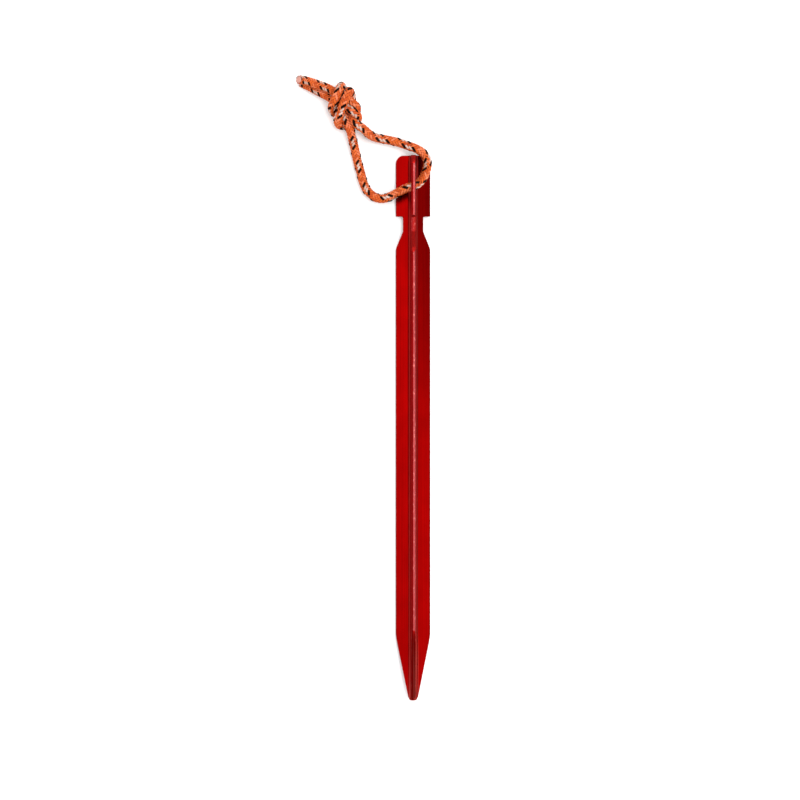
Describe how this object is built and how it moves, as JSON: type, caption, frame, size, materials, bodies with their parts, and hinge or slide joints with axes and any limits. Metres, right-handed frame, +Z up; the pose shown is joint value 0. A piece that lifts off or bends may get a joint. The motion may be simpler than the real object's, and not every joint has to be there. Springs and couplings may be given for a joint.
{
  "type": "tent stake",
  "caption": "Slim Y-section tent stake with guyline notches behind its head, a tapered tip and a swinging pull loop of knotted reflective cord through its head.",
  "frame": {"origin": "on the surface that the stake lies on, below the middle of the stake's length and width, measured without the cord", "axes": "+Y along the stake towards its head, +Z up through the drilled fin, +X to the right seen from above with the head end up"},
  "size_m": [0.0443, 0.2065, 0.01],
  "materials": {
    "anodised_alloy": "red anodised extrusion, satin, with milled notches and tip",
    "reflective_cord": "orange braided cord with black and reflective white tracer yarns"
  },
  "bodies": {
    "stake": {"stake_body": "anodised_alloy"},
    "pull_loop": {"cord_loop": "reflective_cord", "cord_knot": "reflective_cord", "upper_tail": "reflective_cord", "lower_tail": "reflective_cord"}
  },
  "joints": [
    {"name": "loop_swing", "type": "hinge", "parent": "stake", "child": "pull_loop", "pos_m": [0, 0.0798, 0.00742], "axis": [1, 0, 0], "range_deg": [0, 165]}
  ]
}
